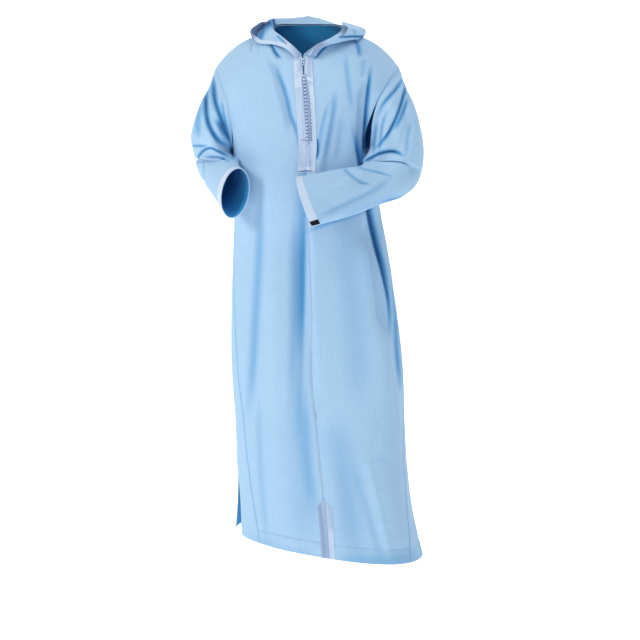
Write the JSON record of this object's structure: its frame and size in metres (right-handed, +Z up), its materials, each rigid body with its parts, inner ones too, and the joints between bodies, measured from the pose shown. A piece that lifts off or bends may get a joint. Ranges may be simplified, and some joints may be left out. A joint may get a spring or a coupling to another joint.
{
  "type": "hooded thobe",
  "caption": "Long hooded robe in light blue slub cloth, worn form with the hood down, silver braid at hood, placket and cuffs, knot buttons and slit hem.",
  "frame": {"origin": "middle of the neck opening at shoulder height, where the wearer carries the robe", "axes": "+Z up, -Y to the front of the robe, +X to the wearer's left"},
  "size_m": [0.6456, 0.4466, 1.4738],
  "materials": {
    "blue_slub_cloth": "matt slub plain weave",
    "silver_braid": "ribbed braid with a soft sheen",
    "grey_facing": "smooth twill with a slight sheen",
    "black_ribbon": "matt woven ribbon"
  },
  "bodies": {
    "root": {"back": "blue_slub_cloth", "bar_tack": "silver_braid", "cuff_left": "silver_braid", "cuff_right": "silver_braid", "cuff_tag": "black_ribbon", "front_left": "blue_slub_cloth", "front_right": "blue_slub_cloth", "gore_left": "blue_slub_cloth", "gore_right": "blue_slub_cloth", "hood": "blue_slub_cloth", "hood_braid": "silver_braid", "knot_01": "silver_braid", "knot_02": "silver_braid", "knot_03": "silver_braid", "knot_04": "silver_braid", "knot_05": "silver_braid", "knot_06": "silver_braid", "knot_07": "silver_braid", "knot_08": "silver_braid", "knot_09": "silver_braid", "knot_10": "silver_braid", "knot_11": "silver_braid", "knot_12": "silver_braid", "knot_13": "silver_braid", "knot_14": "silver_braid", "knot_15": "silver_braid", "knot_16": "silver_braid", "knot_17": "silver_braid", "knot_18": "silver_braid", "knot_19": "silver_braid", "knot_20": "silver_braid", "neck_button": "silver_braid", "placket_end": "silver_braid", "placket_left": "silver_braid", "placket_right": "silver_braid", "seam_cord": "silver_braid", "sleeve_left": "blue_slub_cloth", "sleeve_right": "blue_slub_cloth", "slit_facing_left": "grey_facing", "slit_facing_right": "grey_facing"}
  },
  "joints": []
}
